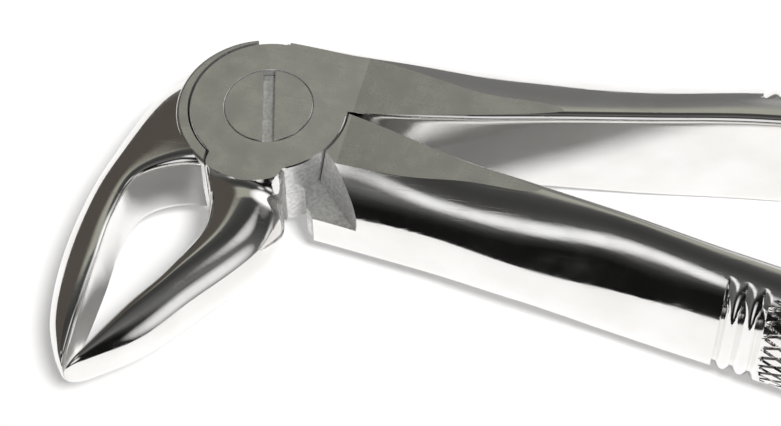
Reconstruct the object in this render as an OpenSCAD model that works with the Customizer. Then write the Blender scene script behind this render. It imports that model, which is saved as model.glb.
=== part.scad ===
// Extracting forceps of the English pattern for lower teeth, in millimetres.
// Two forged halves cross at a lap joint and turn on one slotted screw.
// The origin is on the screw's axis at the joint's underside. +Z runs along the screw to its slotted
// head, +X along the line midway between the handles, and the beaks point to -Y.
// The halves are drawn closed, with the beak tips meeting.

/* [Joint] */
// Thickness of the whole lap joint
joint_t = 9.4; // [8:0.1:12]
// Diameter of the flat disc that each half has in its own layer
disc_d = 17; // [15:0.1:20]
// Radial gap between a disc and the recess that houses it
disc_gap = 0.2; // [0.1:0.05:0.4]
// Gap between the two lap faces
lap_gap = 0.04; // [0.02:0.01:0.1]
// Angle through which the upper half opens before its neck meets the stop
open_angle = 14; // [10:1:16]
// Width of the narrow land that the lower half keeps round the upper disc
rim_w = 0.7; // [0.5:0.1:1]
// Gap between the upper half's neck and the lower half when closed
side_gap = 0.15; // [0.1:0.05:0.4]
// Lean of the slanted shoulder above the stop, away from the joint
shoulder_lean = 12.5; // [0:0.5:20]

/* [Screw] */
// Diameter of the screw's flush head
head_d = 9.5; // [8.5:0.1:11]
// Thickness of the head
head_t = 2.2; // [1.8:0.1:3]
// Diameter of the plain shank that the upper half turns on
shank_d = 6.6; // [6.2:0.1:7.4]
// Diameter of the threaded part in the lower half
thread_d = 5.6; // [4.5:0.1:6]
// Radial running fit of the head and shank
run_fit = 0.05; // [0.02:0.01:0.1]
// Width of the driving slot
slot_w = 1.3; // [0.8:0.1:1.6]
// Depth of the driving slot
slot_depth = 1; // [0.6:0.1:1.4]
// Direction of the slot, counted from +X
slot_turn = 105; // [0:5:180]

/* [Handles] */
// Distance from the screw's axis to the handle ends
handle_reach = 150; // [130:1:170]
// Depth of a handle beside the joint, across the handles
root_depth = 10; // [9.5:0.05:11]
// Depth of a handle along the grip
grip_depth = 7.6; // [6.5:0.1:9]
// Width of a handle along the grip, measured along Z
grip_w = 15; // [12:0.5:17]
// Gap between the handles where the grips start
grip_gap = 16.4; // [12:0.2:20]
// Widest gap between the handles
bow_gap = 29.2; // [24:0.2:34]

/* [Grips] */
// Distance from the screw's axis to the groove where a grip starts
grip_start = 51.4; // [46:0.2:56]
// Pitch of the two beads there
bead_pitch = 1.8; // [1.4:0.1:2.2]
// Depth of the grooves beside the beads
bead_depth = 0.6; // [0.3:0.05:0.8]
// Length of a cut diamond along the grip
diamond_l = 3.6; // [3.2:0.1:4.4]
// Depth of the crossing grooves between the diamonds
knurl_depth = 0.35; // [0.2:0.05:0.4]

/* [Beaks] */
// Width of the neck that joins the upper half's disc to its beak
neck_w = 8.4; // [7:0.1:9]
// Distance from the screw's axis to the beak tips along -Y
beak_reach = 34.6; // [32:0.2:38]
// Distance of the beak tips from the screw's axis along -X
tip_offset = 11.9; // [11:0.1:13]
// Thickness of a beak at half its length
beak_depth = 4.2; // [3.6:0.1:5]
// Width of a beak at half its length, measured along Z
beak_w = 7.8; // [6.5:0.1:9]
// Width of a beak at its tip, measured along Z
tip_w = 4; // [3:0.1:5]
// Depth of the hollow ground in a beak's inner face
hollow = 0.5; // [0.1:0.05:0.8]
// Gap left between the tips when closed
tip_gap = 0.1; // [0.06:0.02:0.3]

/* [Hidden] */
steel = "silver";
ground_steel = "darkgray";
$fn = 96;
mid_z = joint_t / 2;
disc_r = disc_d / 2;
recess_r = disc_r + disc_gap;
lap_top = mid_z + lap_gap / 2;
lap_bottom = mid_z - lap_gap / 2;
past = 1;
far = 60;
edge_r = 0.9;
edge_break = 0.12;
thread_fit = 0.01;
stop_gap = 0.03;
outer_steps = 20;
edge_steps = 3;
root_steps = 14;
row_steps = 4;
tip_share = 0.95;
beads = 2;
knurl_margin = 3;
bead_margin = 2;
bead_fade = 3;
end_round = 6;
hollow_least = 0.05;
hollow_start = 0.3;
hollow_fade = 0.25;
neck_left = -124;
neck_right = -63.5;
neck_side_turn = -86;
neck_flat_l = 2.5;
foot_gap = 0.25;
crotch_y = 1;
crotch_gap = 0.3;
crotch_fade = 16;
rim_start = 113;
rim_end = 368 + neck_left;
rim_bevel = 0.3;
rim_shift = [-0.45, -0.45];
shoulder_foot = disc_r * [cos(-37), sin(-37)];
shoulder_turn = -44.5;
flat_x = disc_r + 0.5;
flat_end_x = 0.78 * grip_start;
flat_rise = 2.75;
beak_power = 2.3;
neck_power = 3.2;

// A value at x between the rows [x, value, ...] of a table, on a smooth curve through the rows.
function row_at(rows, x, i = 0) = i >= len(rows) - 2 || x < rows[i + 1][0] ? i : row_at(rows, x, i + 1);
function slope(rows, i) =
    let (a = rows[max(i - 1, 0)], b = rows[min(i + 1, len(rows) - 1)]) (b - a) / (b[0] - a[0]);
function table(rows, x) =
    let (i = row_at(rows, x), w = rows[i + 1][0] - rows[i][0], t = max(0, min(1, (x - rows[i][0]) / w)))
    (1 + 2 * t) * pow(1 - t, 2) * rows[i] + t * pow(1 - t, 2) * w * slope(rows, i)
        + (3 - 2 * t) * t * t * rows[i + 1] - (1 - t) * t * t * w * slope(rows, i + 1);

// One section as [depth, height] pairs. Its inner face lies at depth 0 and may be hollow by dish. A rounded
// edge climbs from the face's height to the crest, at depth crest and height h, and the outer side is a
// superellipse that ends at depth d. h, face and power hold a value for above and one for below the middle.
// cut sinks the outer side's points.
function section(d, h, crest, face, power, dish, cut) =
    let (
        edge = [for (k = [0, 1]) [for (i = [0 : edge_steps - 1]) let (a = 90 * i / edge_steps)
            [crest * (1 - cos(a)), face[k] + (h[k] - face[k]) * sin(a)]]],
        outer = [for (i = [0 : outer_steps]) let (a = 180 * i / outer_steps, k = a < 90 ? 0 : 1)
            [crest + (d - crest) * pow(sin(a), 2 / power[k]) - cut[i] * sin(a),
                sign(cos(a)) * h[k] * pow(abs(cos(a)), 2 / power[k]) - cut[i] * cos(a)]])
    concat(edge[0], outer, [for (i = [edge_steps - 1 : -1 : 0]) [edge[1][i][0], -edge[1][i][1]]],
        dish > 0 ? [for (w = [-0.5, 0, 0.5]) [dish * (1 - w * w), w * face[w > 0 ? 0 : 1]]] : []);

// A section placed on the upright plane through plan points p on the inner face and o on the outer side.
function place(p, o, pairs) =
    let (e = (o - p) / norm(o - p))
    [for (v = pairs) [p[0] + e[0] * v[0], p[1] + e[1] * v[0], mid_z + v[1]]];

// A solid skinned over sections that all have as many points.
module skin(rings, flip) {
    m = len(rings[0]);
    q = len(rings);
    sides = [for (i = [0 : q - 2], j = [0 : m - 1], s = [0, 1])
        let (a = i * m + j, b = i * m + (j + 1) % m, c = a + m, d = b + m)
        (i + j) % 2 == 0 ? (s == 0 ? [a, b, d] : [a, d, c]) : (s == 0 ? [a, b, c] : [b, d, c])];
    faces = concat([[for (j = [m - 1 : -1 : 0]) j]], sides, [[for (j = [0 : m - 1]) (q - 1) * m + j]]);
    polyhedron([for (r = rings) each r],
        flip ? [for (f = faces) [for (k = [len(f) - 1 : -1 : 0]) f[k]]] : faces);
}

// Handle shape, as rows of distance along X, half the gap between the handles, depth, then half height
// and section power for the top of the upper half, the top of the lower half and the underside of both.
handle_rows = [
    [0, -0.3, root_depth, 0.6 * joint_t, 4.6, 0.7 * joint_t, 1.56, 0.6 * joint_t, 8],
    [flat_x, crotch_gap / 2, root_depth, 0.56 * joint_t, 4.6, 0.69 * joint_t, 1.58, 0.6 * joint_t, 8],
    [0.39 * grip_start, 0.28 * grip_gap / 2, root_depth - 0.9,
        0.39 * grip_w, 2.7, 0.4 * grip_w, 2, 0.4 * grip_w, 4.7],
    [0.58 * grip_start, 0.5 * grip_gap / 2, root_depth - 1.1,
        0.438 * grip_w, 2, 0.438 * grip_w, 2.05, 0.438 * grip_w, 3],
    [flat_end_x, 0.73 * grip_gap / 2, grip_depth + 0.4,
        0.476 * grip_w, 2, 0.476 * grip_w, 2.2, 0.476 * grip_w, 3.3],
    [grip_start, grip_gap / 2, grip_depth, grip_w / 2, 2.3, grip_w / 2, 2.3, grip_w / 2, 2.6],
    [0.5 * handle_reach, 0.79 * bow_gap / 2, grip_depth, grip_w / 2, 2.4, grip_w / 2, 2.4, grip_w / 2, 2.4],
    [0.77 * handle_reach, bow_gap / 2, grip_depth + 0.3,
        grip_w / 2, 2.4, grip_w / 2, 2.4, grip_w / 2, 2.4],
    [handle_reach, 0.94 * bow_gap / 2, grip_depth - 0.7,
        0.46 * grip_w, 2.4, 0.46 * grip_w, 2.4, 0.46 * grip_w, 2.4]];
grip_end = handle_reach - end_round;

// How much smaller a section gets over the rounded end of a handle or beak, from share 0 to 1 of it.
function end_shrink(tail) = 0.3 + 0.7 * sqrt(max(0, 1 - tail * tail));

// side is 1 for the upper half's handle and -1 for the lower half's, its mirror image but for the crotch.
// Grooves run across the handle beside the beads. Along the grip every other point is sunk, so that the
// outer side's faces form diamonds that stand between crossing grooves.
module handle(side) {
    root_x = [for (i = [0 : root_steps]) (grip_start - bead_pitch / 4) * i / root_steps];
    bead_x = [for (i = [0 : 4 * beads]) grip_start + i * bead_pitch / 4];
    knurl_start = grip_start + (beads + 0.3) * bead_pitch;
    rows = 2 * round((grip_end - knurl_start) / diamond_l);
    knurl_x = [for (i = [0 : rows]) knurl_start + (grip_end - knurl_start) * i / rows];
    end_x = [for (a = [15 : 15 : 90]) grip_end + (handle_reach - grip_end) * sin(a)];
    first = len(root_x) + len(bead_x);
    xs = concat(root_x, bead_x, knurl_x, end_x);
    skin([for (k = [0 : len(xs) - 1])
        let (x = xs[k],
            r = table(handle_rows, x),
            shrink = end_shrink(max(0, (x - grip_end) / (handle_reach - grip_end))),
            lift = crotch_y * pow(max(0, min(1, 1 - (x - flat_x) / crotch_fade)), 2),
            in_y = side * (r[1] + 0.4 * r[2] * (1 - shrink)) + lift,
            d = (r[2] - side * lift) * shrink,
            beaded = k >= len(root_x) && k < first,
            knurled = k > first && k < first + rows,
            groove = bead_depth * (1 - abs(sin(180 * (x - grip_start) / bead_pitch))),
            cut = [for (j = [0 : outer_steps])
                let (in = min(j, outer_steps - j))
                beaded ? groove * max(0, min(1, (in - bead_margin) / bead_fade))
                    : knurled && in >= knurl_margin && (k + j + edge_steps) % 2 == 0 ? knurl_depth : 0],
            top = side > 0 ? 3 : 5,
            h = [r[top], r[7]] * shrink,
            face = h - [edge_r, edge_r] * shrink)
        place([x, in_y], [x, in_y + side],
            section(d, h, edge_r * shrink, face, [r[top + 1], r[8]], 0, cut))], side < 0);
}

// Beak shape, as rows of the share of its length, the inner face's plan point, the outer side's plan
// point, half width, crest depth and face height as shares of depth and half width, and section power.
front_rows = [
    [0, -0.45 * neck_w, -0.35 * disc_r, 0.52 * neck_w, -0.35 * disc_r, 0.6 * joint_t, 0.5, 0.7, neck_power],
    [0.15, -0.55 * neck_w, -0.98 * disc_r, neck_w / 2, -0.98 * disc_r, 0.65 * joint_t, 0.5, 0.72, neck_power],
    [0.2, -0.47 * neck_w, -1.18 * disc_r, 0.49 * neck_w, -1.17 * disc_r, 0.5 * joint_t, 0.48, 0.75, 2.4],
    [0.28, -0.37 * neck_w, -1.43 * disc_r, 0.57 * neck_w, -1.41 * disc_r, 0.475 * joint_t, 0.45, 0.6, 2.3],
    [0.42, -0.215 * tip_offset, -0.47 * beak_reach, -0.2 * tip_offset + 1.5 * beak_depth, -0.48 * beak_reach,
        0.53 * beak_w, 0.3, 0.75, beak_power],
    [0.6, -0.395 * tip_offset, -0.633 * beak_reach, -0.395 * tip_offset + 0.88 * beak_depth,
        -0.694 * beak_reach, 0.5 * beak_w, 0.2, 0.85, beak_power],
    [0.82, -tip_offset + 3.8, -beak_reach + 7, -tip_offset + 6.5, -beak_reach + 4.7,
        0.43 * beak_w, 0.2, 0.8, beak_power],
    [1, -tip_offset + tip_gap / 2, -beak_reach + 0.2, -tip_offset + 0.8, -beak_reach,
        tip_w / 2, 0.3, 0.7, beak_power]];
back_rows = [
    [0, -0.33 * disc_r, -disc_r, -0.92 * disc_r, 0.78 * disc_r, 0.54 * joint_t, 0.15, 0.72, beak_power],
    [0.16, -0.88 * disc_r, -1.075 * disc_r, -1.51 * disc_r, 0.106 * disc_r,
        0.48 * joint_t, 0.12, 0.82, beak_power],
    [0.3, -0.94 * tip_offset, -1.376 * disc_r, -1.3 * tip_offset, -1.08 * disc_r,
        0.44 * joint_t, 0.15, 0.9, beak_power],
    [0.44, -tip_offset - 0.3, -0.474 * beak_reach, -tip_offset - 0.3 - beak_depth, -0.462 * beak_reach,
        0.5 * beak_w, 0.15, 0.9, beak_power],
    [0.62, -tip_offset - 0.2, -0.65 * beak_reach, -tip_offset - 0.2 - beak_depth, -0.665 * beak_reach,
        0.5 * beak_w, 0.15, 0.9, beak_power],
    [0.82, -tip_offset - 0.05, -beak_reach + 5.9, -tip_offset - 3.2, -beak_reach + 5.2,
        0.43 * beak_w, 0.2, 0.8, beak_power],
    [1, -tip_offset - tip_gap / 2, -beak_reach + 0.3, -tip_offset - 0.8, -beak_reach + 0.5,
        tip_w / 2, 0.3, 0.7, beak_power]];
no_cut = [for (j = [0 : outer_steps]) 0];

module beak(rows, flip) {
    ts = concat(
        [for (i = [0 : len(rows) - 2], k = [0 : row_steps - 1])
            let (a = rows[i][0], b = min(rows[i + 1][0], tip_share)) a + (b - a) * k / row_steps],
        [for (a = [0 : 30 : 90]) tip_share + (1 - tip_share) * sin(a)]);
    skin([for (t = ts)
        let (r = table(rows, t),
            p = [r[1], r[2]],
            o = [r[3], r[4]],
            shrink = end_shrink(max(0, (t - tip_share) / (1 - tip_share))),
            d = norm(o - p) * shrink,
            h = [r[5], r[5]] * shrink,
            dish = max(hollow_least, min(hollow, 0.2 * d) * min(1, max(0, (t - hollow_start) / hollow_fade))))
        place(p, o, section(d, h, r[6] * d, r[7] * h, [r[8], r[8]], dish, no_cut))], flip);
}

// What is ground off flat above the joint, rising along the handles, and its mirror image below.
module ground_off() {
    for (up = [0, 1])
        translate([0, 0, mid_z])
            mirror([0, 0, 1 - up])
                rotate([90, 0, 0])
                    translate([0, 0, -far])
                        linear_extrude(2 * far)
                            polygon([[-far, mid_z], [flat_x, mid_z], [flat_end_x, mid_z + flat_rise],
                                [flat_end_x, far], [-far, far]]);
}

// The side of the neck that meets the stop: flat from its root to its foot, and swelling towards the beak.
neck_root = recess_r * [cos(neck_right), sin(neck_right)];
neck_foot = neck_root + (neck_flat_l - foot_gap) * [cos(neck_side_turn), sin(neck_side_turn)];
neck_side = [[0.59 * neck_w, -1.8 * disc_r], [0.59 * neck_w, -1.43 * disc_r],
    [0.53 * neck_w, -1.24 * disc_r], neck_foot, neck_root];

// A plan point turned about the screw.
function turned(p, a) = [p[0] * cos(a) - p[1] * sin(a), p[0] * sin(a) + p[1] * cos(a)];

// Plan of the room that the upper half's neck needs in the lower half, opened by the given angle.
module neck_room(turn) {
    polygon([[0, 0], recess_r * [cos(neck_left), sin(neck_left)], [-0.55 * neck_w - side_gap, -0.97 * disc_r],
        [-0.47 * neck_w - side_gap, -1.18 * disc_r], [-0.37 * neck_w - side_gap, -1.43 * disc_r],
        [-0.3 * neck_w, -1.65 * disc_r], for (v = neck_side) turned(v, turn)]);
}

// The upright flat on the neck's side that meets the stop, as what is cut off beyond it.
module neck_flat() {
    translate([neck_root[0], neck_root[1], -far])
        rotate(neck_side_turn)
            translate([-past, -stop_gap, 0])
                cube([past + neck_flat_l, far, 2 * far]);
}

// The narrow land round the upper disc, from its free end to the back beak's root.
module rim() {
    intersection() {
        translate([rim_shift[0], rim_shift[1], 0]) {
            cylinder(r = recess_r + rim_w, h = joint_t - rim_bevel);
            translate([0, 0, joint_t - rim_bevel])
                cylinder(r1 = recess_r + rim_w, r2 = recess_r + rim_w - rim_bevel, h = rim_bevel);
        }
        translate([0, 0, -past])
            linear_extrude(far)
                polygon([[0, 0], for (a = [rim_start, (rim_start + rim_end) / 2, rim_end])
                    2 * disc_d * [cos(a), sin(a)]]);
    }
}

// What is cut off above the lap, up to the slanted shoulder that faces the upper half's neck.
module above_shelf() {
    translate([shoulder_foot[0], shoulder_foot[1], lap_bottom])
        rotate([90, 0, 90 + shoulder_turn])
            translate([0, 0, -past])
                linear_extrude(far)
                    polygon([[-far, 0], [0, 0], [far * tan(shoulder_lean), far], [-far, far]]);
}

module upper_half() {
    color(steel)
    difference() {
        union() {
            translate([0, 0, lap_top])
                cylinder(r = disc_r, h = mid_z + past);
            handle(1);
            difference() {
                beak(front_rows, false);
                neck_flat();
            }
        }
        ground_off();
        translate([0, 0, -far])
            cylinder(r = recess_r, h = far + lap_top);
        translate([0, 0, joint_t - head_t])
            cylinder(d = head_d + 2 * run_fit, h = far);
        translate([0, 0, joint_t - edge_break])
            cylinder(d1 = head_d + 2 * run_fit, d2 = head_d + 2 * run_fit + 2 * edge_break, h = edge_break);
        cylinder(d = shank_d + 2 * run_fit, h = far);
    }
}

module lower_half() {
    color(steel)
    difference() {
        union() {
            translate([0, 0, -past])
                cylinder(r = disc_r, h = lap_bottom + past);
            difference() {
                union() {
                    rim();
                    beak(back_rows, true);
                    difference() {
                        handle(-1);
                        above_shelf();
                    }
                }
                translate([0, 0, -far])
                    linear_extrude(2 * far)
                        neck_room(open_angle);
            }
        }
        ground_off();
        translate([0, 0, lap_bottom])
            cylinder(r = recess_r, h = far);
        translate([0, 0, -past])
            cylinder(d = thread_d + 2 * thread_fit, h = joint_t);
    }
}

module joint_screw() {
    color(ground_steel)
    difference() {
        union() {
            cylinder(d = thread_d, h = mid_z);
            translate([0, 0, lap_bottom])
                cylinder(d = shank_d, h = mid_z - slot_depth);
            translate([0, 0, joint_t - head_t + lap_gap / 2])
                cylinder(d = head_d, h = head_t - lap_gap / 2 - edge_break);
            translate([0, 0, joint_t - edge_break])
                cylinder(d1 = head_d, d2 = head_d - 2 * edge_break, h = edge_break);
        }
        rotate(slot_turn)
            translate([-disc_r, -slot_w / 2, joint_t - slot_depth])
                cube([disc_d, slot_w, slot_depth + past]);
    }
}

upper_half();
lower_half();
joint_screw();
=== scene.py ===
"""Looks for extracting forceps: finely skinned steel halves with cut diamonds, in a white studio."""

import math

import bmesh
import bpy
import numpy as np
from mathutils import Matrix, Vector


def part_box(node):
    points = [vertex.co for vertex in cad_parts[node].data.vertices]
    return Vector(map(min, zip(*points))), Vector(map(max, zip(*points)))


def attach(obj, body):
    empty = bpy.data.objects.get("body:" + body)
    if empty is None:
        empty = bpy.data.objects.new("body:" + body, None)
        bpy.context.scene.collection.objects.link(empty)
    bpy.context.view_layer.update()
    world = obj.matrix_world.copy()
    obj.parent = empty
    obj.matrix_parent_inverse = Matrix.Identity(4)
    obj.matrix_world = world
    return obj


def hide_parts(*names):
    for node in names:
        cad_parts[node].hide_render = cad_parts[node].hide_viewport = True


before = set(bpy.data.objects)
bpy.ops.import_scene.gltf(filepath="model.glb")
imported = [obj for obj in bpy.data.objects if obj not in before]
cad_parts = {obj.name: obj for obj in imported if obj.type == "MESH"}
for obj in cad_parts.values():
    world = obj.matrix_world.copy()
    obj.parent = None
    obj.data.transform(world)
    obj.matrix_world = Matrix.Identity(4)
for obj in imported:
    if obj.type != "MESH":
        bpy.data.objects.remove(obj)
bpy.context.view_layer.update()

# Sizes in millimetres. The first ones are read from the frame, and the others are those of the CAD part,
# except that the screw's broken edge is finer, and the land's top edge is rounded, where the CAD part's is
# bevelled.
MM = 0.001
screw_low, screw_high = (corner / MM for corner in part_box("joint_screw"))
JOINT_T = screw_high.z
HEAD_D = screw_high.x - screw_low.x
HANDLE_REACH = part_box("upper_half")[1].x / MM
MID_Z = JOINT_T / 2
DISC_R = 8.5
DISC_GAP = 0.2
RECESS_R = DISC_R + DISC_GAP
LAP_GAP = 0.04
HEAD_T = 2.2
SHANK_D = 6.6
RUN_FIT = 0.05
THREAD_D = 5.6
THREAD_FIT = 0.01
SLOT_W = 1.3
SLOT_DEPTH = 1
SLOT_TURN = 105
SCREW_BREAK = 0.07
DISC_BREAK = 0.12
OPEN_ANGLE = 14
SIDE_GAP = 0.15
STOP_GAP = 0.03
RIM_W = 0.7
RIM_ROUND = 0.35
RIM_SHIFT = 0.45
RIM_START = 113
RIM_END = 244
SHELF_FOOT = -37
SHELF_RUN = -44.5
SHOULDER_LEAN = 12.5
ROOT_DEPTH = 10
GRIP_DEPTH = 7.6
GRIP_W = 15
GRIP_GAP = 16.4
BOW_GAP = 29.2
GRIP_START = 51.4
BEAD_PITCH = 1.8
BEAD_DEPTH = 0.6
DIAMOND_L = 3.6
KNURL_DEPTH = 0.35
NECK_W = 8.4
BEAK_REACH = 34.6
TIP_OFFSET = 11.9
BEAK_DEPTH = 4.2
BEAK_W = 7.8
TIP_W = 4
HOLLOW = 0.5
TIP_GAP = 0.1
EDGE_R = 0.9
CROTCH_GAP = 0.3
ROOT_LIFT_L = 16
FLAT_X = DISC_R + 0.5
FLAT_END_X = 0.78 * GRIP_START
FLAT_RISE = 2.75
PAST = 1
FAR = 60

# The handles' sections. Each row holds the place along +X, half the gap between the handles and the depth,
# and then a half height and a power for the far handle's top side, for the near handle's and for both
# undersides. A low power makes a lean side, and a high one a square side. The near handle's top side is
# leaner than in the CAD part.
HANDLE_ROWS = [
    [0, -0.3, ROOT_DEPTH, 0.6 * JOINT_T, 4.6, 0.7 * JOINT_T, 1.56, 0.6 * JOINT_T, 8],
    [FLAT_X, CROTCH_GAP / 2, ROOT_DEPTH, 0.56 * JOINT_T, 4.6, 0.69 * JOINT_T, 1.58, 0.6 * JOINT_T, 8],
    [0.39 * GRIP_START, 0.28 * GRIP_GAP / 2, ROOT_DEPTH - 0.9,
     0.39 * GRIP_W, 2.7, 0.4 * GRIP_W, 2, 0.4 * GRIP_W, 4.7],
    [0.58 * GRIP_START, 0.5 * GRIP_GAP / 2, ROOT_DEPTH - 1.1,
     0.438 * GRIP_W, 2, 0.438 * GRIP_W, 1.85, 0.438 * GRIP_W, 3],
    [FLAT_END_X, 0.73 * GRIP_GAP / 2, GRIP_DEPTH + 0.4,
     0.476 * GRIP_W, 2, 0.476 * GRIP_W, 1.7, 0.476 * GRIP_W, 3.3],
    [GRIP_START, GRIP_GAP / 2, GRIP_DEPTH, GRIP_W / 2, 2.3, GRIP_W / 2, 1.95, GRIP_W / 2, 2.6],
    [0.5 * HANDLE_REACH, 0.79 * BOW_GAP / 2, GRIP_DEPTH, GRIP_W / 2, 2.4, GRIP_W / 2, 2.4, GRIP_W / 2, 2.4],
    [0.77 * HANDLE_REACH, BOW_GAP / 2, GRIP_DEPTH + 0.3, GRIP_W / 2, 2.4, GRIP_W / 2, 2.4, GRIP_W / 2, 2.4],
    [HANDLE_REACH, 0.94 * BOW_GAP / 2, GRIP_DEPTH - 0.7,
     0.46 * GRIP_W, 2.4, 0.46 * GRIP_W, 2.4, 0.46 * GRIP_W, 2.4],
]
# The beaks' sections. Each row holds the share along the beak, X and Y on the inner and on the outer side,
# the half height, the share of the depth that the rounded edges take, the inner face's share of the half
# height, and the powers above and below the middle. The front beak's top side is leaner than in the CAD part.
FRONT_ROWS = [
    [0, -0.45 * NECK_W, -0.35 * DISC_R, 0.52 * NECK_W, -0.35 * DISC_R, 0.6 * JOINT_T, 0.5, 0.7, 3.2, 3.2],
    [0.15, -0.55 * NECK_W, -0.98 * DISC_R, NECK_W / 2, -0.98 * DISC_R, 0.65 * JOINT_T, 0.5, 0.72, 3.2, 3.2],
    [0.2, -0.47 * NECK_W, -1.18 * DISC_R, 0.49 * NECK_W, -1.17 * DISC_R, 0.5 * JOINT_T, 0.48, 0.75, 2.2, 2.4],
    [0.28, -0.37 * NECK_W, -1.43 * DISC_R, 0.57 * NECK_W, -1.41 * DISC_R,
     0.475 * JOINT_T, 0.45, 0.6, 1.95, 2.3],
    [0.42, -0.215 * TIP_OFFSET, -0.47 * BEAK_REACH, -0.2 * TIP_OFFSET + 1.5 * BEAK_DEPTH,
     -0.48 * BEAK_REACH, 0.53 * BEAK_W, 0.3, 0.75, 1.75, 2.3],
    [0.6, -0.395 * TIP_OFFSET, -0.633 * BEAK_REACH, -0.395 * TIP_OFFSET + 0.88 * BEAK_DEPTH,
     -0.694 * BEAK_REACH, 0.5 * BEAK_W, 0.2, 0.85, 1.65, 2.3],
    [0.82, -TIP_OFFSET + 3.8, -BEAK_REACH + 7, -TIP_OFFSET + 6.5, -BEAK_REACH + 4.7,
     0.43 * BEAK_W, 0.2, 0.8, 1.65, 2.3],
    [1, -TIP_OFFSET + TIP_GAP / 2, -BEAK_REACH + 0.2, -TIP_OFFSET + 0.8, -BEAK_REACH,
     TIP_W / 2, 0.3, 0.7, 2, 2.3],
]
BACK_ROWS = [
    [0, -0.33 * DISC_R, -DISC_R, -0.92 * DISC_R, 0.78 * DISC_R, 0.54 * JOINT_T, 0.15, 0.72, 2.3, 2.3],
    [0.16, -0.88 * DISC_R, -1.075 * DISC_R, -1.51 * DISC_R, 0.106 * DISC_R,
     0.48 * JOINT_T, 0.12, 0.82, 2.3, 2.3],
    [0.3, -0.94 * TIP_OFFSET, -1.376 * DISC_R, -1.3 * TIP_OFFSET, -1.08 * DISC_R,
     0.44 * JOINT_T, 0.15, 0.9, 2.3, 2.3],
    [0.44, -TIP_OFFSET - 0.3, -0.474 * BEAK_REACH, -TIP_OFFSET - 0.3 - BEAK_DEPTH, -0.462 * BEAK_REACH,
     0.5 * BEAK_W, 0.15, 0.9, 2.3, 2.3],
    [0.62, -TIP_OFFSET - 0.2, -0.65 * BEAK_REACH, -TIP_OFFSET - 0.2 - BEAK_DEPTH, -0.665 * BEAK_REACH,
     0.5 * BEAK_W, 0.15, 0.9, 2.3, 2.3],
    [0.82, -TIP_OFFSET - 0.05, -BEAK_REACH + 5.9, -TIP_OFFSET - 3.2, -BEAK_REACH + 5.2,
     0.43 * BEAK_W, 0.2, 0.8, 2.3, 2.3],
    [1, -TIP_OFFSET - TIP_GAP / 2, -BEAK_REACH + 0.3, -TIP_OFFSET - 0.8, -BEAK_REACH + 0.5,
     TIP_W / 2, 0.3, 0.7, 2.3, 2.3],
]


def table(rows, x):
    """The row's values at x, on a smooth curve through the rows."""
    rows = np.asarray(rows, float)
    last = len(rows) - 1
    i = int(np.clip(np.searchsorted(rows[:, 0], x, "right") - 1, 0, last - 1))

    def slope(k):
        a, b = rows[max(k - 1, 0)], rows[min(k + 1, last)]
        return (b - a) / (b[0] - a[0])

    w = rows[i + 1][0] - rows[i][0]
    t = min(max((x - rows[i][0]) / w, 0), 1)
    return ((1 + 2 * t) * (1 - t) ** 2 * rows[i] + t * (1 - t) ** 2 * w * slope(i)
            + (3 - 2 * t) * t * t * rows[i + 1] - (1 - t) * t * t * w * slope(i + 1))


# Points round a section: the outer side, each rounded edge and the inner face.
OUTER_N = 190
EDGE_N = 8
FACE_N = 22


def even(points, count):
    """count points at even distances along a polyline, without its last one."""
    points = np.asarray(points)
    run = np.r_[0, np.cumsum(np.hypot(*np.diff(points, axis=0).T))]
    s = np.linspace(0, run[-1], count, endpoint=False)
    return np.c_[np.interp(s, run, points[:, 0]), np.interp(s, run, points[:, 1])]


def section(d, h, crest, face, power, dish):
    """One section as depth and height: the edge above the face, the outer side, the edge below, the face.

    h, face and power hold a value for above and one for below the middle.
    """
    a = np.radians(np.linspace(0, 90, 16))
    above, below = (np.c_[crest * (1 - np.cos(a)), face[k] + (h[k] - face[k]) * np.sin(a)] for k in (0, 1))
    b = np.radians(90 - 90 * np.cos(np.radians(np.linspace(0, 180, 361))))
    k = np.where(b < math.pi / 2, 0, 1)
    n, height = np.asarray(power)[k], np.asarray(h)[k]
    outer = np.c_[crest + (d - crest) * np.sin(b) ** (2 / n),
                  np.sign(np.cos(b)) * height * np.abs(np.cos(b)) ** (2 / n)]
    w = np.linspace(-1, 1, 25)
    flat = np.c_[dish * (1 - w * w), w * np.where(w > 0, *face)]
    return np.vstack([even(above, EDGE_N), even(outer, OUTER_N), even(below[::-1] * [1, -1], EDGE_N),
                      even(flat, FACE_N)])


def sink(pairs, cut):
    """Sinks the outer side's points along their normals."""
    around = np.roll(pairs, -1, axis=0) - np.roll(pairs, 1, axis=0)
    normal = np.c_[around[:, 1], -around[:, 0]]
    normal /= np.linalg.norm(normal, axis=1)[:, None]
    return pairs + normal * cut[:, None]


def place(p, o, pairs):
    """A section placed on the upright plane through plan points p and o."""
    e = (np.asarray(o) - p) / np.linalg.norm(np.asarray(o) - p)
    return np.c_[p[0] + e[0] * pairs[:, 0], p[1] + e[1] * pairs[:, 0], MID_Z + pairs[:, 1]]


# The places of the three surfaces among each mesh's materials.
POLISHED, GROUND, MILLED = 0, 1, 2


def mesh_object(name, points, faces, surface=POLISHED):
    """A mesh from points in millimetres, with one kind of surface all over."""
    mesh = bpy.data.meshes.new(name)
    mesh.from_pydata([tuple(p) for p in np.asarray(points) * MM], [], faces)
    for material in (polished, ground, milled):
        mesh.materials.append(material)
    mesh.polygons.foreach_set("material_index", [surface] * len(mesh.polygons))
    obj = bpy.data.objects.new(name, mesh)
    bpy.context.scene.collection.objects.link(obj)
    return obj


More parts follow.
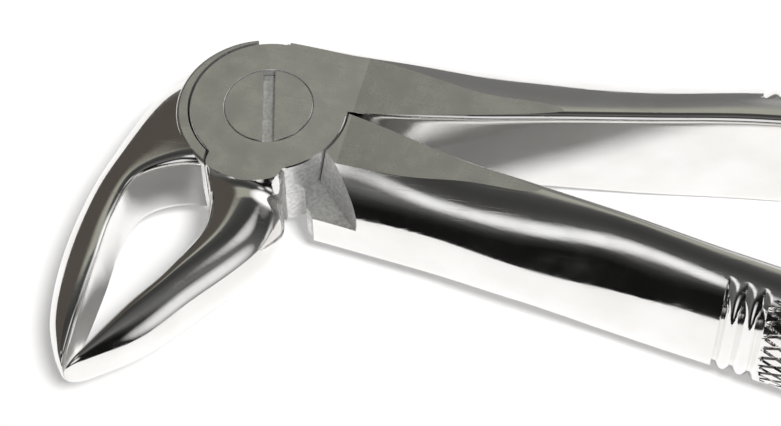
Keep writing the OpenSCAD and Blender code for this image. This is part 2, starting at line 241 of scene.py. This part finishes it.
def skin(name, rings, flip, cuts=None):
    """A closed mesh over rings that all have as many points. Sunk faces are split along their grooves."""
    m = len(rings[0])
    q = len(rings)
    faces = []
    for i in range(q - 1):
        for j in range(m):
            k = (j + 1) % m
            a, b, c, d = i * m + j, i * m + k, (i + 1) * m + k, (i + 1) * m + j
            corners = [0] * 4 if cuts is None else [cuts[i][j], cuts[i][k], cuts[i + 1][k], cuts[i + 1][j]]
            if not any(corners):
                faces.append((a, b, c, d))
            elif abs(corners[0] - corners[2]) < abs(corners[1] - corners[3]):
                faces += [(a, b, c), (a, c, d)]
            else:
                faces += [(a, b, d), (b, c, d)]
    faces.append(tuple(range(m - 1, -1, -1)))
    faces.append(tuple((q - 1) * m + j for j in range(m)))
    if flip:
        faces = [f[::-1] for f in faces]
    return mesh_object(name, np.vstack(rings), faces)


# Where the grips' parts lie along the handle, how finely they are divided, and where their grooves fade
# towards the inner face. The beads' margin and fade are shares of the outer side's points, and the knurl's
# are counts of them.
END_ROUND = 6
END_STEPS = 24
GRIP_END = HANDLE_REACH - END_ROUND
BEADS = 2
BEAD_END = GRIP_START + BEADS * BEAD_PITCH
BEAD_ROOM = 0.3
BEAD_SPREAD = 0.25
BEAD_MARGIN = 0.1
BEAD_FADE = 0.15
BEAD_STEPS = 48
ROOT_STEPS = 120
KNURL_START = GRIP_START + (BEADS + 0.3) * BEAD_PITCH
DIAMONDS = round((GRIP_END - KNURL_START) / DIAMOND_L)
KNURL_STEPS = 12
KNURL_MARGIN = 26
KNURL_FADE = 6


# The share of a section that is left at the very end of a handle or a beak.
END_SIZE = 0.3


def end_shrink(tail):
    """How much smaller a section gets over a rounded end, from share 0 to 1 of it."""
    return END_SIZE + (1 - END_SIZE) * math.sqrt(max(0, 1 - tail * tail))


def handle_rings(side):
    """The sections of a handle, and how far each point of its grip is sunk."""
    knurl = DIAMONDS * KNURL_STEPS
    xs = np.r_[np.linspace(0, GRIP_START - BEAD_ROOM, ROOT_STEPS, endpoint=False),
               np.linspace(GRIP_START - BEAD_ROOM, BEAD_END + BEAD_ROOM, BEAD_STEPS, endpoint=False),
               np.linspace(KNURL_START, GRIP_END, knurl, endpoint=False),
               GRIP_END + (HANDLE_REACH - GRIP_END) * np.sin(np.radians(np.linspace(0, 90, END_STEPS)))]
    first = ROOT_STEPS + BEAD_STEPS
    j = np.arange(OUTER_N)
    inner = np.minimum(j, OUTER_N - j)
    rings, cuts = [], []
    for k, x in enumerate(xs):
        r = table(HANDLE_ROWS, x)
        shrink = end_shrink(max(0, (x - GRIP_END) / (HANDLE_REACH - GRIP_END)))
        lift = max(0, min(1, 1 - (x - FLAT_X) / ROOT_LIFT_L)) ** 2
        in_y = side * (r[1] + 0.4 * r[2] * (1 - shrink)) + lift
        top = 3 if side > 0 else 5
        d, h = (r[2] - side * lift) * shrink, r[[top, 7]] * shrink
        pairs = section(d, h, EDGE_R * shrink, h - EDGE_R * shrink, r[[top + 1, 8]], 0)
        cut = np.zeros(len(pairs))
        if GRIP_START - BEAD_SPREAD < x < BEAD_END + BEAD_SPREAD:
            groove = 1 - abs(math.sin(math.pi * (x - GRIP_START) / BEAD_PITCH))
            fade = np.clip((inner / OUTER_N - BEAD_MARGIN) / BEAD_FADE, 0, 1)
            cut[EDGE_N:EDGE_N + OUTER_N] = BEAD_DEPTH * groove * fade
        elif first <= k <= first + knurl:
            one, two = (k - first + j) % KNURL_STEPS, (k - first - j) % KNURL_STEPS
            near = np.minimum(np.minimum(one, KNURL_STEPS - one), np.minimum(two, KNURL_STEPS - two))
            depth = np.interp(near, [0, 1, 2], [1, 0.45, 0])
            fade = np.clip((inner - KNURL_MARGIN) / KNURL_FADE, 0, 1) * min(1, (k - first) / 3)
            cut[EDGE_N:EDGE_N + OUTER_N] = KNURL_DEPTH * depth * fade
        rings.append(place((x, in_y), (x, in_y + side), sink(pairs, cut)))
        cuts.append(cut)
    return rings, cuts


# The share of a beak at which its tip starts to round off, and how its inner face gets hollow along it.
TIP_SHARE = 0.95
TIP_STEPS = 16
BEAK_STEPS = 130
HOLLOW_LEAST = 0.05
HOLLOW_START = 0.3
HOLLOW_FADE = 0.25


def beak_rings(rows):
    """The sections of a beak, with a hollow inner face and a rounded tip."""
    rings = []
    ends = TIP_SHARE + (1 - TIP_SHARE) * np.sin(np.radians(np.linspace(0, 90, TIP_STEPS)))
    for t in np.r_[np.linspace(0, TIP_SHARE, BEAK_STEPS, endpoint=False), ends]:
        r = table(rows, t)
        p, o = r[1:3], r[3:5]
        shrink = end_shrink(max(0, (t - TIP_SHARE) / (1 - TIP_SHARE)))
        d, h = np.linalg.norm(o - p) * shrink, r[[5, 5]] * shrink
        dish = max(HOLLOW_LEAST, min(HOLLOW, 0.2 * d) * min(1, max(0, (t - HOLLOW_START) / HOLLOW_FADE)))
        rings.append(place(p, o, section(d, h, r[6] * d, r[7] * h, r[[8, 9]], dish)))
    return rings


def turned_profile(name, profile, centre=(0, 0), surface=MILLED, steps=256):
    """A closed solid of revolution about Z from radius and height pairs, from the axis to the axis."""
    points, faces = [], []
    m = len(profile)
    for i in range(steps):
        a = 2 * math.pi * i / steps
        points += [(centre[0] + r * math.cos(a), centre[1] + r * math.sin(a), z) for r, z in profile]
    for i in range(steps):
        k = (i + 1) % steps
        for j in range(m - 1):
            faces.append((i * m + j, k * m + j, k * m + j + 1, i * m + j + 1))
    faces.append(tuple(i * m for i in range(steps - 1, -1, -1)))
    faces.append(tuple(i * m + m - 1 for i in range(steps)))
    return mesh_object(name, points, faces, surface)


def prism(name, outline, low, high, surface=MILLED):
    """An upright prism over a plan outline that runs anticlockwise."""
    m = len(outline)
    points = [(x, y, low) for x, y in outline] + [(x, y, high) for x, y in outline]
    faces = [tuple(range(m - 1, -1, -1)), tuple(range(m, 2 * m))]
    faces += [(j, (j + 1) % m, (j + 1) % m + m, j + m) for j in range(m)]
    return mesh_object(name, points, faces, surface)


def combine(base, tool, operation):
    """Joins a tool with the base mesh, or cuts it out, and removes the tool."""
    mod = base.modifiers.new("combine", "BOOLEAN")
    mod.operation = operation
    mod.solver = "MANIFOLD"
    mod.object = tool
    done = bpy.data.meshes.new_from_object(base.evaluated_get(bpy.context.evaluated_depsgraph_get()))
    base.modifiers.clear()
    old = base.data
    base.data = done
    bpy.data.meshes.remove(old)
    bpy.data.objects.remove(tool)
    return base


def ground_off(name, up):
    """What is ground off flat on one side of the joint, rising along the handles."""
    s = 1 if up else -1
    outline = [(-FAR, MID_Z), (FLAT_X, MID_Z), (FLAT_END_X, MID_Z + FLAT_RISE),
               (FLAT_END_X, FAR), (-FAR, FAR)]
    m = len(outline)
    points = [(x, y, MID_Z + s * z) for y in (-FAR, FAR) for x, z in outline]
    faces = [tuple(range(m)), tuple(range(2 * m - 1, m - 1, -1))]
    faces += [(j, j + m, (j + 1) % m + m, (j + 1) % m) for j in range(m)]
    if not up:
        faces = [f[::-1] for f in faces]
    return mesh_object(name, points, faces, GROUND)


def turned(p, angle):
    """A plan point turned about the screw."""
    c, s = math.cos(math.radians(angle)), math.sin(math.radians(angle))
    return p[0] * c - p[1] * s, p[0] * s + p[1] * c


def polar(r, angle):
    """The plan point at a radius and an angle from the screw."""
    return turned((r, 0), angle)


# The upper half's neck in plan: the angles at which its sides leave the disc, and its right side, from the
# beak to the flat that meets the stop notch.
NECK_LEFT = -124
NECK_RIGHT = -63.5
NECK_TURN = -86
NECK_ROOT = polar(RECESS_R, NECK_RIGHT)
NECK_FLAT_L = 2.5
FOOT_GAP = 0.25
NECK_FOOT = tuple(a + b for a, b in zip(NECK_ROOT, polar(NECK_FLAT_L - FOOT_GAP, NECK_TURN)))
NECK_SIDE = [(0.59 * NECK_W, -1.8 * DISC_R), (0.59 * NECK_W, -1.43 * DISC_R), (0.53 * NECK_W, -1.24 * DISC_R),
             NECK_FOOT, NECK_ROOT]


# How far a chamfer's cutter reaches past both faces.
EDGE_PAST = 0.02


def arc_chamfer(name, radius, top, start, end):
    """A cutter that breaks the top edge of a disc between two angles."""
    inner, low = radius - DISC_BREAK - EDGE_PAST, top - DISC_BREAK - EDGE_PAST
    profile = [(inner, top + EDGE_PAST), (radius + EDGE_PAST, low), (radius + PAST / 2, top + PAST / 2)]
    steps = int(abs(end - start) * 1.5)
    rings = []
    for i in range(steps + 1):
        a = math.radians(start + (end - start) * i / steps)
        rings.append(np.array([(r * math.cos(a), r * math.sin(a), z) for r, z in profile]))
    return skin(name, rings, True)


def neck_room(angle):
    """Plan of the room that the upper half's neck needs in the lower half."""
    return [(0, 0), polar(RECESS_R, NECK_LEFT), (-0.55 * NECK_W - SIDE_GAP, -0.97 * DISC_R),
            (-0.47 * NECK_W - SIDE_GAP, -1.18 * DISC_R), (-0.37 * NECK_W - SIDE_GAP, -1.43 * DISC_R),
            (-0.3 * NECK_W, -1.65 * DISC_R)] + [turned(p, angle) for p in NECK_SIDE]


def upper_half():
    """The far handle, the upper disc and the front beak on its neck."""
    rings, cuts = handle_rings(1)
    body = skin("upper_half_steel", rings, True, cuts)
    neck = skin("front_beak", beak_rings(FRONT_ROWS), True)
    flat = [(-PAST, -STOP_GAP), (NECK_FLAT_L, -STOP_GAP), (NECK_FLAT_L, FAR), (-PAST, FAR)]
    flat = [tuple(a + b for a, b in zip(NECK_ROOT, turned(p, NECK_TURN))) for p in flat]
    combine(neck, prism("neck_flat", flat, -FAR, FAR), "DIFFERENCE")
    combine(body, neck, "UNION")
    combine(body, turned_profile("disc", [(DISC_R, MID_Z + LAP_GAP / 2), (DISC_R, JOINT_T + PAST)]), "UNION")
    combine(body, ground_off("off_top", True), "DIFFERENCE")
    combine(body, ground_off("off_bottom", False), "DIFFERENCE")
    combine(body, turned_profile("recess", [(RECESS_R, -FAR), (RECESS_R, MID_Z + LAP_GAP / 2)]), "DIFFERENCE")
    head_r = HEAD_D / 2 + RUN_FIT
    shank_r = SHANK_D / 2 + RUN_FIT
    room = [(shank_r, 0), (shank_r, JOINT_T - HEAD_T), (head_r, JOINT_T - HEAD_T),
            (head_r, JOINT_T - SCREW_BREAK), (head_r + SCREW_BREAK + PAST, JOINT_T + PAST)]
    combine(body, turned_profile("screw_room", room), "DIFFERENCE")
    # The disc's edge is broken where it runs free, in front and behind.
    for start, end in ((-62, 4), (92, 235)):
        combine(body, arc_chamfer("edge", DISC_R, JOINT_T, start, end), "DIFFERENCE")
    return body


def lower_half():
    """The near handle, the lower disc with the shelf and the stop notch, the land and the back beak."""
    rings, cuts = handle_rings(-1)
    handle = skin("near_handle", rings, False, cuts)
    along = polar(1, SHELF_RUN)
    foot = polar(DISC_R, SHELF_FOOT)
    lean = math.tan(math.radians(SHOULDER_LEAN))
    low = MID_Z - LAP_GAP / 2
    points = []
    for run in (-PAST, FAR):
        for y, z in ((-FAR, 0), (0, 0), (FAR * lean, FAR), (-FAR, FAR)):
            points.append((foot[0] + along[0] * run - along[1] * y,
                           foot[1] + along[1] * run + along[0] * y, low + z))
    faces = [(3, 2, 1, 0), (4, 5, 6, 7)] + [(j, (j + 1) % 4, (j + 1) % 4 + 4, j + 4) for j in range(4)]
    combine(handle, mesh_object("above_shelf", points, faces, MILLED), "DIFFERENCE")
    body = skin("lower_half_steel", beak_rings(BACK_ROWS), False)
    combine(body, handle, "UNION")
    sector = [(0, 0)] + [polar(FAR, a) for a in (RIM_START, (RIM_START + RIM_END) / 2, RIM_END)]
    rim_r = RECESS_R + RIM_W
    round_edge = [(rim_r - RIM_ROUND + RIM_ROUND * math.cos(math.radians(a)),
                   JOINT_T - RIM_ROUND + RIM_ROUND * math.sin(math.radians(a))) for a in range(0, 91, 15)]
    rim = turned_profile("rim", [(rim_r, 0)] + round_edge, (-RIM_SHIFT, -RIM_SHIFT), GROUND)
    combine(rim, prism("sector", sector, -FAR, FAR), "INTERSECT")
    combine(body, rim, "UNION")
    combine(body, prism("neck_room", neck_room(OPEN_ANGLE), -FAR, FAR), "DIFFERENCE")
    combine(body, turned_profile("lower_disc", [(DISC_R, -PAST), (DISC_R, low)]), "UNION")
    combine(body, ground_off("off_top", True), "DIFFERENCE")
    combine(body, ground_off("off_bottom", False), "DIFFERENCE")
    combine(body, turned_profile("recess", [(RECESS_R, low), (RECESS_R, FAR)]), "DIFFERENCE")
    bore_r = THREAD_D / 2 + THREAD_FIT
    combine(body, turned_profile("bore", [(bore_r, -PAST), (bore_r, JOINT_T)]), "DIFFERENCE")
    return body


def joint_screw():
    """The screw, with its edges broken, and its slot cut across the head."""
    low = MID_Z - LAP_GAP / 2
    under_head = JOINT_T - HEAD_T + LAP_GAP / 2
    head_r = HEAD_D / 2
    profile = [(THREAD_D / 2, 0), (THREAD_D / 2, low), (SHANK_D / 2, low), (SHANK_D / 2, under_head),
               (head_r, under_head), (head_r, JOINT_T - SCREW_BREAK), (head_r - SCREW_BREAK, JOINT_T)]
    body = turned_profile("joint_screw_steel", profile, surface=GROUND)
    slot = [(-DISC_R, -SLOT_W / 2), (DISC_R, -SLOT_W / 2), (DISC_R, SLOT_W / 2), (-DISC_R, SLOT_W / 2)]
    slot = [turned(p, SLOT_TURN) for p in slot]
    return combine(body, prism("slot", slot, JOINT_T - SLOT_DEPTH, JOINT_T + PAST), "DIFFERENCE")


CRISP_ANGLE = 3
SMOOTH_ANGLE = 25


def finish_mesh(obj, body, node):
    """Smooth shading, with the edges of ground and milled faces kept crisp."""
    bm = bmesh.new()
    bm.from_mesh(obj.data)
    for face in bm.faces:
        face.smooth = True
    for edge in bm.edges:
        cut_edge = any(face.material_index != POLISHED for face in edge.link_faces)
        edge.smooth = edge.calc_face_angle(0) < math.radians(CRISP_ANGLE if cut_edge else SMOOTH_ANGLE)
    bm.to_mesh(obj.data)
    bm.free()
    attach(obj, body)
    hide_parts(node)


class Tree:
    """A material's or world's nodes, made and linked in one call each."""

    def __init__(self, owner):
        owner.use_nodes = True
        self.nodes = owner.node_tree.nodes
        self.links = owner.node_tree.links

    def add(self, kind, inputs=(), **settings):
        """A node with its settings, and with values or other sockets on its inputs."""
        node = self.nodes.new(kind)
        for key, value in settings.items():
            setattr(node, key, value)
        for key, value in dict(inputs).items():
            if isinstance(value, bpy.types.NodeSocket):
                self.links.new(value, node.inputs[key])
            else:
                node.inputs[key].default_value = value
        return node

    def noise(self, coords, scale, detail=3, stretch=(1, 1, 1), turn=0):
        """Noise from 0 to 1 over the object's coordinates, stretched along an axis in plan."""
        place = self.add("ShaderNodeMapping", {"Vector": coords, "Scale": stretch, "Rotation": (0, 0, turn)})
        inputs = {"Vector": place.outputs[0], "Scale": scale, "Detail": detail}
        return self.add("ShaderNodeTexNoise", inputs).outputs[0]

    def remap(self, value, low, high, to_low, to_high):
        """A value mapped from one range to another, and held at its ends."""
        inputs = {"Value": value, "From Min": low, "From Max": high, "To Min": to_low, "To Max": to_high}
        return self.add("ShaderNodeMapRange", inputs).outputs[0]

    def bump(self, height, strength, distance, normal=None):
        """A normal that a height disturbs, over the normal that is given."""
        inputs = {"Height": height, "Strength": strength, "Distance": distance}
        if normal:
            inputs["Normal"] = normal
        return self.add("ShaderNodeBump", inputs).outputs[0]


# The steel's layers of noise. Each scale is about how many of a kind lie in a metre, and each height is that
# of the bumps, in metres.
SMUDGE_SCALE = 420
WAVE_SCALE = 230
WAVE_HEIGHT = 0.0002
GRAIN_SCALE = 2600
GRAIN_HEIGHT = 0.00004
STRIAE_SCALE = 60
STRIAE_HEIGHT = 0.0001
STRIAE_STRENGTH = 0.05
SCRATCH_SCALE = 130
SCRATCH_HEIGHT = 0.00003


def steel(name, light, dark, roughness, grain, scratches, wave, metallic=1, patch_scale=160):
    """Worn stainless steel: patches, smudges, waves, grain, striae along upright walls, and scratches."""
    material = bpy.data.materials.new(name)
    tree = Tree(material)
    shader = tree.nodes["Principled BSDF"]
    shader.inputs["Metallic"].default_value = metallic
    coords = tree.add("ShaderNodeTexCoord").outputs["Object"]
    patches = tree.remap(tree.noise(coords, patch_scale, 4), 0.35, 0.65, 0, 1)
    colour = tree.add("ShaderNodeMix", {0: patches, 6: (*light, 1), 7: (*dark, 1)}, data_type="RGBA")
    tree.links.new(colour.outputs[2], shader.inputs["Base Color"])
    smudges = tree.noise(coords, SMUDGE_SCALE, 5)
    tree.links.new(tree.remap(smudges, 0.35, 0.7, *roughness), shader.inputs["Roughness"])
    normal = tree.bump(tree.noise(coords, WAVE_SCALE, 1), wave, WAVE_HEIGHT)
    normal = tree.bump(tree.noise(coords, GRAIN_SCALE, 2), grain, GRAIN_HEIGHT, normal)
    striae = tree.noise(coords, STRIAE_SCALE, 4, (1, 1, 40))
    normal = tree.bump(striae, STRIAE_STRENGTH, STRIAE_HEIGHT, normal)
    for turn, sparse in ((-0.05, 0.66), (0.6, 0.7)):
        lines = tree.noise(coords, SCRATCH_SCALE, 2, (0.6, 90, 8), turn)
        lines = tree.remap(lines, sparse, sparse + 0.1, 0, 1)
        normal = tree.bump(lines, scratches, SCRATCH_HEIGHT, normal)
    tree.links.new(normal, shader.inputs["Normal"])
    return material


polished = steel("mirror_steel", (0.94, 0.935, 0.925), (0.88, 0.87, 0.855), roughness=(0.05, 0.14),
                 grain=0.04, scratches=0.08, wave=0.02)
ground = steel("ground_steel", (0.81, 0.81, 0.8), (0.77, 0.77, 0.76), roughness=(0.24, 0.34),
               grain=0.2, scratches=0.12, wave=0.015)
milled = steel("milled_steel", (0.8, 0.8, 0.79), (0.58, 0.58, 0.57), roughness=(0.28, 0.42),
               grain=0.5, scratches=0.05, wave=0.03, metallic=0.8, patch_scale=2400)
finish_mesh(upper_half(), "upper", "upper_half")
finish_mesh(lower_half(), "lower", "lower_half")
finish_mesh(joint_screw(), "lower", "joint_screw")

# The camera stands where the photograph's did. Its focal length is in the picture's pixels, and the point
# that it looks at is given to its right and ahead of it.
PICTURE_W = 781
FOCAL_PX = 2117.976
SENSOR_W = 36
AZIMUTH = math.radians(15.5)
ELEVATION = math.radians(55.911)
ROLL = math.radians(-1.517)
AIM_RIGHT = 12.724
AIM_AHEAD = -7.989
CAMERA_AWAY = 230
scene = bpy.context.scene
right = Vector((math.cos(AZIMUTH), math.sin(AZIMUTH), 0))
ahead = Vector((-math.sin(AZIMUTH), math.cos(AZIMUTH), 0))
back = Vector((0, 0, math.sin(ELEVATION))) - ahead * math.cos(ELEVATION)
up = back.cross(right)
cam_right = right * math.cos(ROLL) + up * math.sin(ROLL)
cam_up = -right * math.sin(ROLL) + up * math.cos(ROLL)
target = right * AIM_RIGHT + ahead * AIM_AHEAD
camera_data = bpy.data.cameras.new("camera")
camera_data.sensor_width = SENSOR_W
camera_data.lens = SENSOR_W * FOCAL_PX / PICTURE_W
camera_data.clip_start = 0.01
camera_data.clip_end = 20
camera = bpy.data.objects.new("camera", camera_data)
scene.collection.objects.link(camera)
camera.matrix_world = Matrix.Translation((target + back * CAMERA_AWAY) * MM) @ Matrix(
    (cam_right, cam_up, back)).transposed().to_4x4()
scene.camera = camera

scene.view_settings.view_transform = "Standard"

world = bpy.data.worlds.new("studio")
scene.world = world


def heading(azimuth, elevation):
    """The unit vector of a direction, its azimuth counted from +X."""
    a, e = math.radians(azimuth), math.radians(elevation)
    return Vector((math.cos(a) * math.cos(e), math.sin(a) * math.cos(e), math.sin(e)))


def dot(tree, direction, azimuth, elevation):
    """The cosine of the angle between a ray's direction and a heading."""
    inputs = {0: direction, 1: heading(azimuth, elevation)}
    return tree.add("ShaderNodeVectorMath", inputs, operation="DOT_PRODUCT").outputs["Value"]


def ramp(tree, value, stops):
    """Grey by a value from -1 to 1, a touch warm, and yellower where it is bright."""
    node = tree.add("ShaderNodeValToRGB", {0: tree.remap(value, -1, 1, 0, 1)})
    elements = node.color_ramp.elements
    while len(elements) < len(stops):
        elements.new(1)
    for element, (at, level) in zip(elements, stops):
        element.position = (at + 1) / 2
        element.color = (level, level, level * (0.86 if level > 0.25 else 0.97), 1)
    return node.outputs[0]


# The room that the steel mirrors, by how far a direction points to the back: dark in front, with a grey panel
# behind, which the flats of the joint mirror.
BACK_HEADING = 105.5
ROOM_STOPS = (
    (-0.66, 0.007), (-0.56, 0.03), (-0.42, 0.15), (-0.28, 0.11), (0, 0.05), (0.14, 0.045),
    (0.3, 0.06), (0.4, 0.09), (0.48, 0.37), (0.66, 0.37), (0.76, 0.2), (0.9, 0.17))

# Soft round patches in it, each with azimuth, elevation, outer and inner radius in degrees, and colour. They
# are the dim left side, the broad light on the right, two lights for the front beak, one for the edges that
# face the camera, and one for the streak along the near handle.
PATCHES = (
    (162, 25, 41.8, 35.4, (0.085, 0.075, 0.065)),
    (56, 22, 36, 17, (1.15, 1.15, 1.15)),
    (-20, 16, 17, 5, (0.85, 0.85, 0.85)),
    (6, 47, 13, 4, (0.7, 0.7, 0.7)),
    (-78, 28, 20, 9, (0.85, 0.85, 0.85)),
    (-123, 60, 11, 3, (0.95, 0.95, 0.95)))

tree = Tree(world)
direction = tree.add("ShaderNodeTexCoord").outputs["Generated"]
room = ramp(tree, dot(tree, direction, BACK_HEADING, 0), ROOM_STOPS)
for azimuth, elevation, outer, inner, colour in PATCHES:
    cosines = math.cos(math.radians(outer)), math.cos(math.radians(inner))
    share = tree.remap(dot(tree, direction, azimuth, elevation), *cosines, 0, 1)
    room = tree.add("ShaderNodeMix", {0: share, 6: room, 7: (*colour, 1)}, data_type="RGBA").outputs[2]
seen_directly = tree.add("ShaderNodeLightPath").outputs["Is Camera Ray"]
backdrop = tree.add("ShaderNodeMix", {0: seen_directly, 6: room, 7: (1, 1, 1, 1)}, data_type="RGBA")
tree.links.new(backdrop.outputs[2], tree.nodes["Background"].inputs["Color"])

# The overhead light on the table and the milled faces. Mirrored light comes from the room and the table.
SUN_STRENGTH = 3.3
SUN_SPREAD = 12
sun = bpy.data.lights.new("overhead", "SUN")
sun.energy = SUN_STRENGTH
sun.angle = math.radians(SUN_SPREAD)
overhead = bpy.data.objects.new("overhead", sun)
overhead.rotation_euler = heading(-42, 60).to_track_quat("Z", "Y").to_euler()
overhead.visible_glossy = False
scene.collection.objects.link(overhead)

# How much of the table's own white the camera and the mirrored rays see. The rest is lit, and keeps the
# shadow.
CAMERA_WHITE = 0.3
MIRRORED_WHITE = 0.06


def white_table():
    """Matt white paper that keeps its shadows."""
    material = bpy.data.materials.new("white_table")
    tree = Tree(material)
    shader = tree.nodes["Principled BSDF"]
    coords = tree.add("ShaderNodeTexCoord").outputs["Object"]
    shader.inputs["Base Color"].default_value = (0.96, 0.955, 0.95, 1)
    tree.links.new(tree.remap(tree.noise(coords, 60, 3), 0.3, 0.7, 0.55, 0.75), shader.inputs["Roughness"])
    rays = tree.add("ShaderNodeLightPath").outputs
    share = tree.add("ShaderNodeMath", {0: rays["Is Camera Ray"], 1: CAMERA_WHITE}, operation="MULTIPLY")
    share = tree.add("ShaderNodeMath", {0: rays["Is Glossy Ray"], 1: MIRRORED_WHITE, 2: share.outputs[0]},
                     operation="MULTIPLY_ADD")
    white = tree.add("ShaderNodeEmission", {"Color": (1, 1, 1, 1), "Strength": 1})
    mix = tree.add("ShaderNodeMixShader", {0: share.outputs[0], 1: shader.outputs[0], 2: white.outputs[0]})
    tree.links.new(mix.outputs[0], tree.nodes["Material Output"].inputs["Surface"])
    return material


FLOOR_SIZE = 6
bpy.ops.mesh.primitive_plane_add(size=FLOOR_SIZE, location=(0, 0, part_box("lower_half")[0].z))
floor = bpy.context.object
floor.name = "floor"
floor.data.materials.append(white_table())
